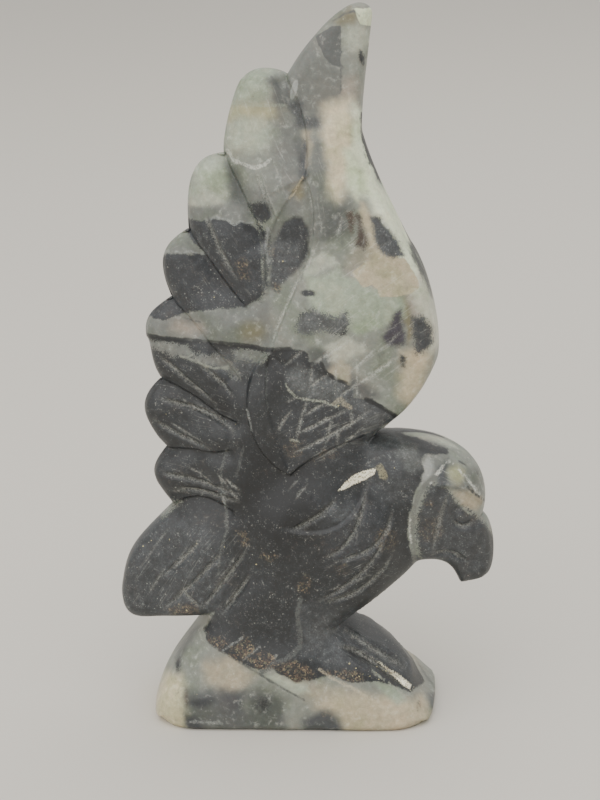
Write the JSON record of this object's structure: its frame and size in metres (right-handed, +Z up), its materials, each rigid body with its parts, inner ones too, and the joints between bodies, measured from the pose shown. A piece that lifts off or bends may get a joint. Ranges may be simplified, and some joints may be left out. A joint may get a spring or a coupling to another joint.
{
  "type": "carved stone eagle",
  "caption": "Stone carving of a perched eagle with raised wings and a hooked beak, cut together with its low base from one slab of banded stone.",
  "frame": {"origin": "middle of the base's flat underside, where it rests", "axes": "+Z up towards the wing's tip, +X towards the beak, +Y through the slab towards its far, plainer face"},
  "size_m": [0.1068, 0.041, 0.2],
  "materials": {
    "banded_stone": "soft polish"
  },
  "bodies": {
    "root": {"eagle_carving": "banded_stone"}
  },
  "joints": []
}
